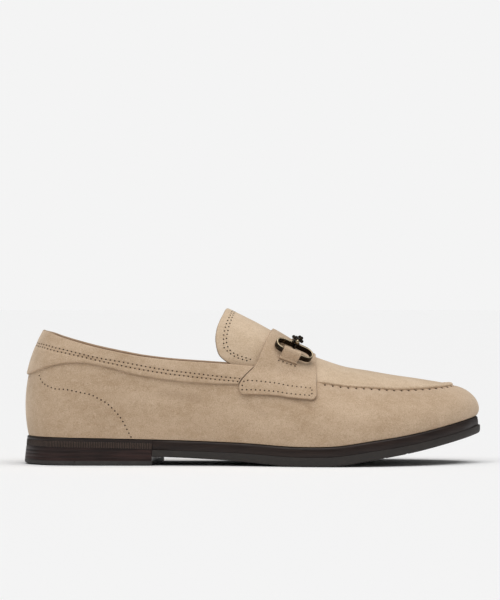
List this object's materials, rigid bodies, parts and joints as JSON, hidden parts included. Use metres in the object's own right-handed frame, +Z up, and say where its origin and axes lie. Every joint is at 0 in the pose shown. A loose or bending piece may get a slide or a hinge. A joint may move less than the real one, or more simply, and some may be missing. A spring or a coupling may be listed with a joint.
{
  "type": "bit loafer",
  "caption": "Right men's bit loafer: sand suede upper with a hand-sewn apron, a saddle strap with a brass snaffle bit in two keepers, a collar band, a brown midsole and a low stacked heel.",
  "frame": {"origin": "middle of the footprint box at the floor that heel and forefoot stand on", "axes": "+X to the toe, +Y to the inner (medial) side of the foot, +Z up"},
  "size_m": [0.2986, 0.1045, 0.1017],
  "materials": {
    "suede": "napped",
    "lining": "smooth",
    "edge": "burnished",
    "rubber": "matte",
    "brass": "antique"
  },
  "bodies": {
    "root": {"outsole": "rubber", "midsole": "edge", "heel_rand": "edge", "heel_stack": "edge", "heel_top_lift": "rubber", "insole": "lining", "upper": "suede", "collar_band": "suede", "tongue": "suede", "saddle_strap": "suede", "bit_ring_lateral": "brass", "bit_ring_medial": "brass", "bit_bar": "brass", "keeper_lateral": "suede", "keeper_medial": "suede"}
  },
  "joints": []
}
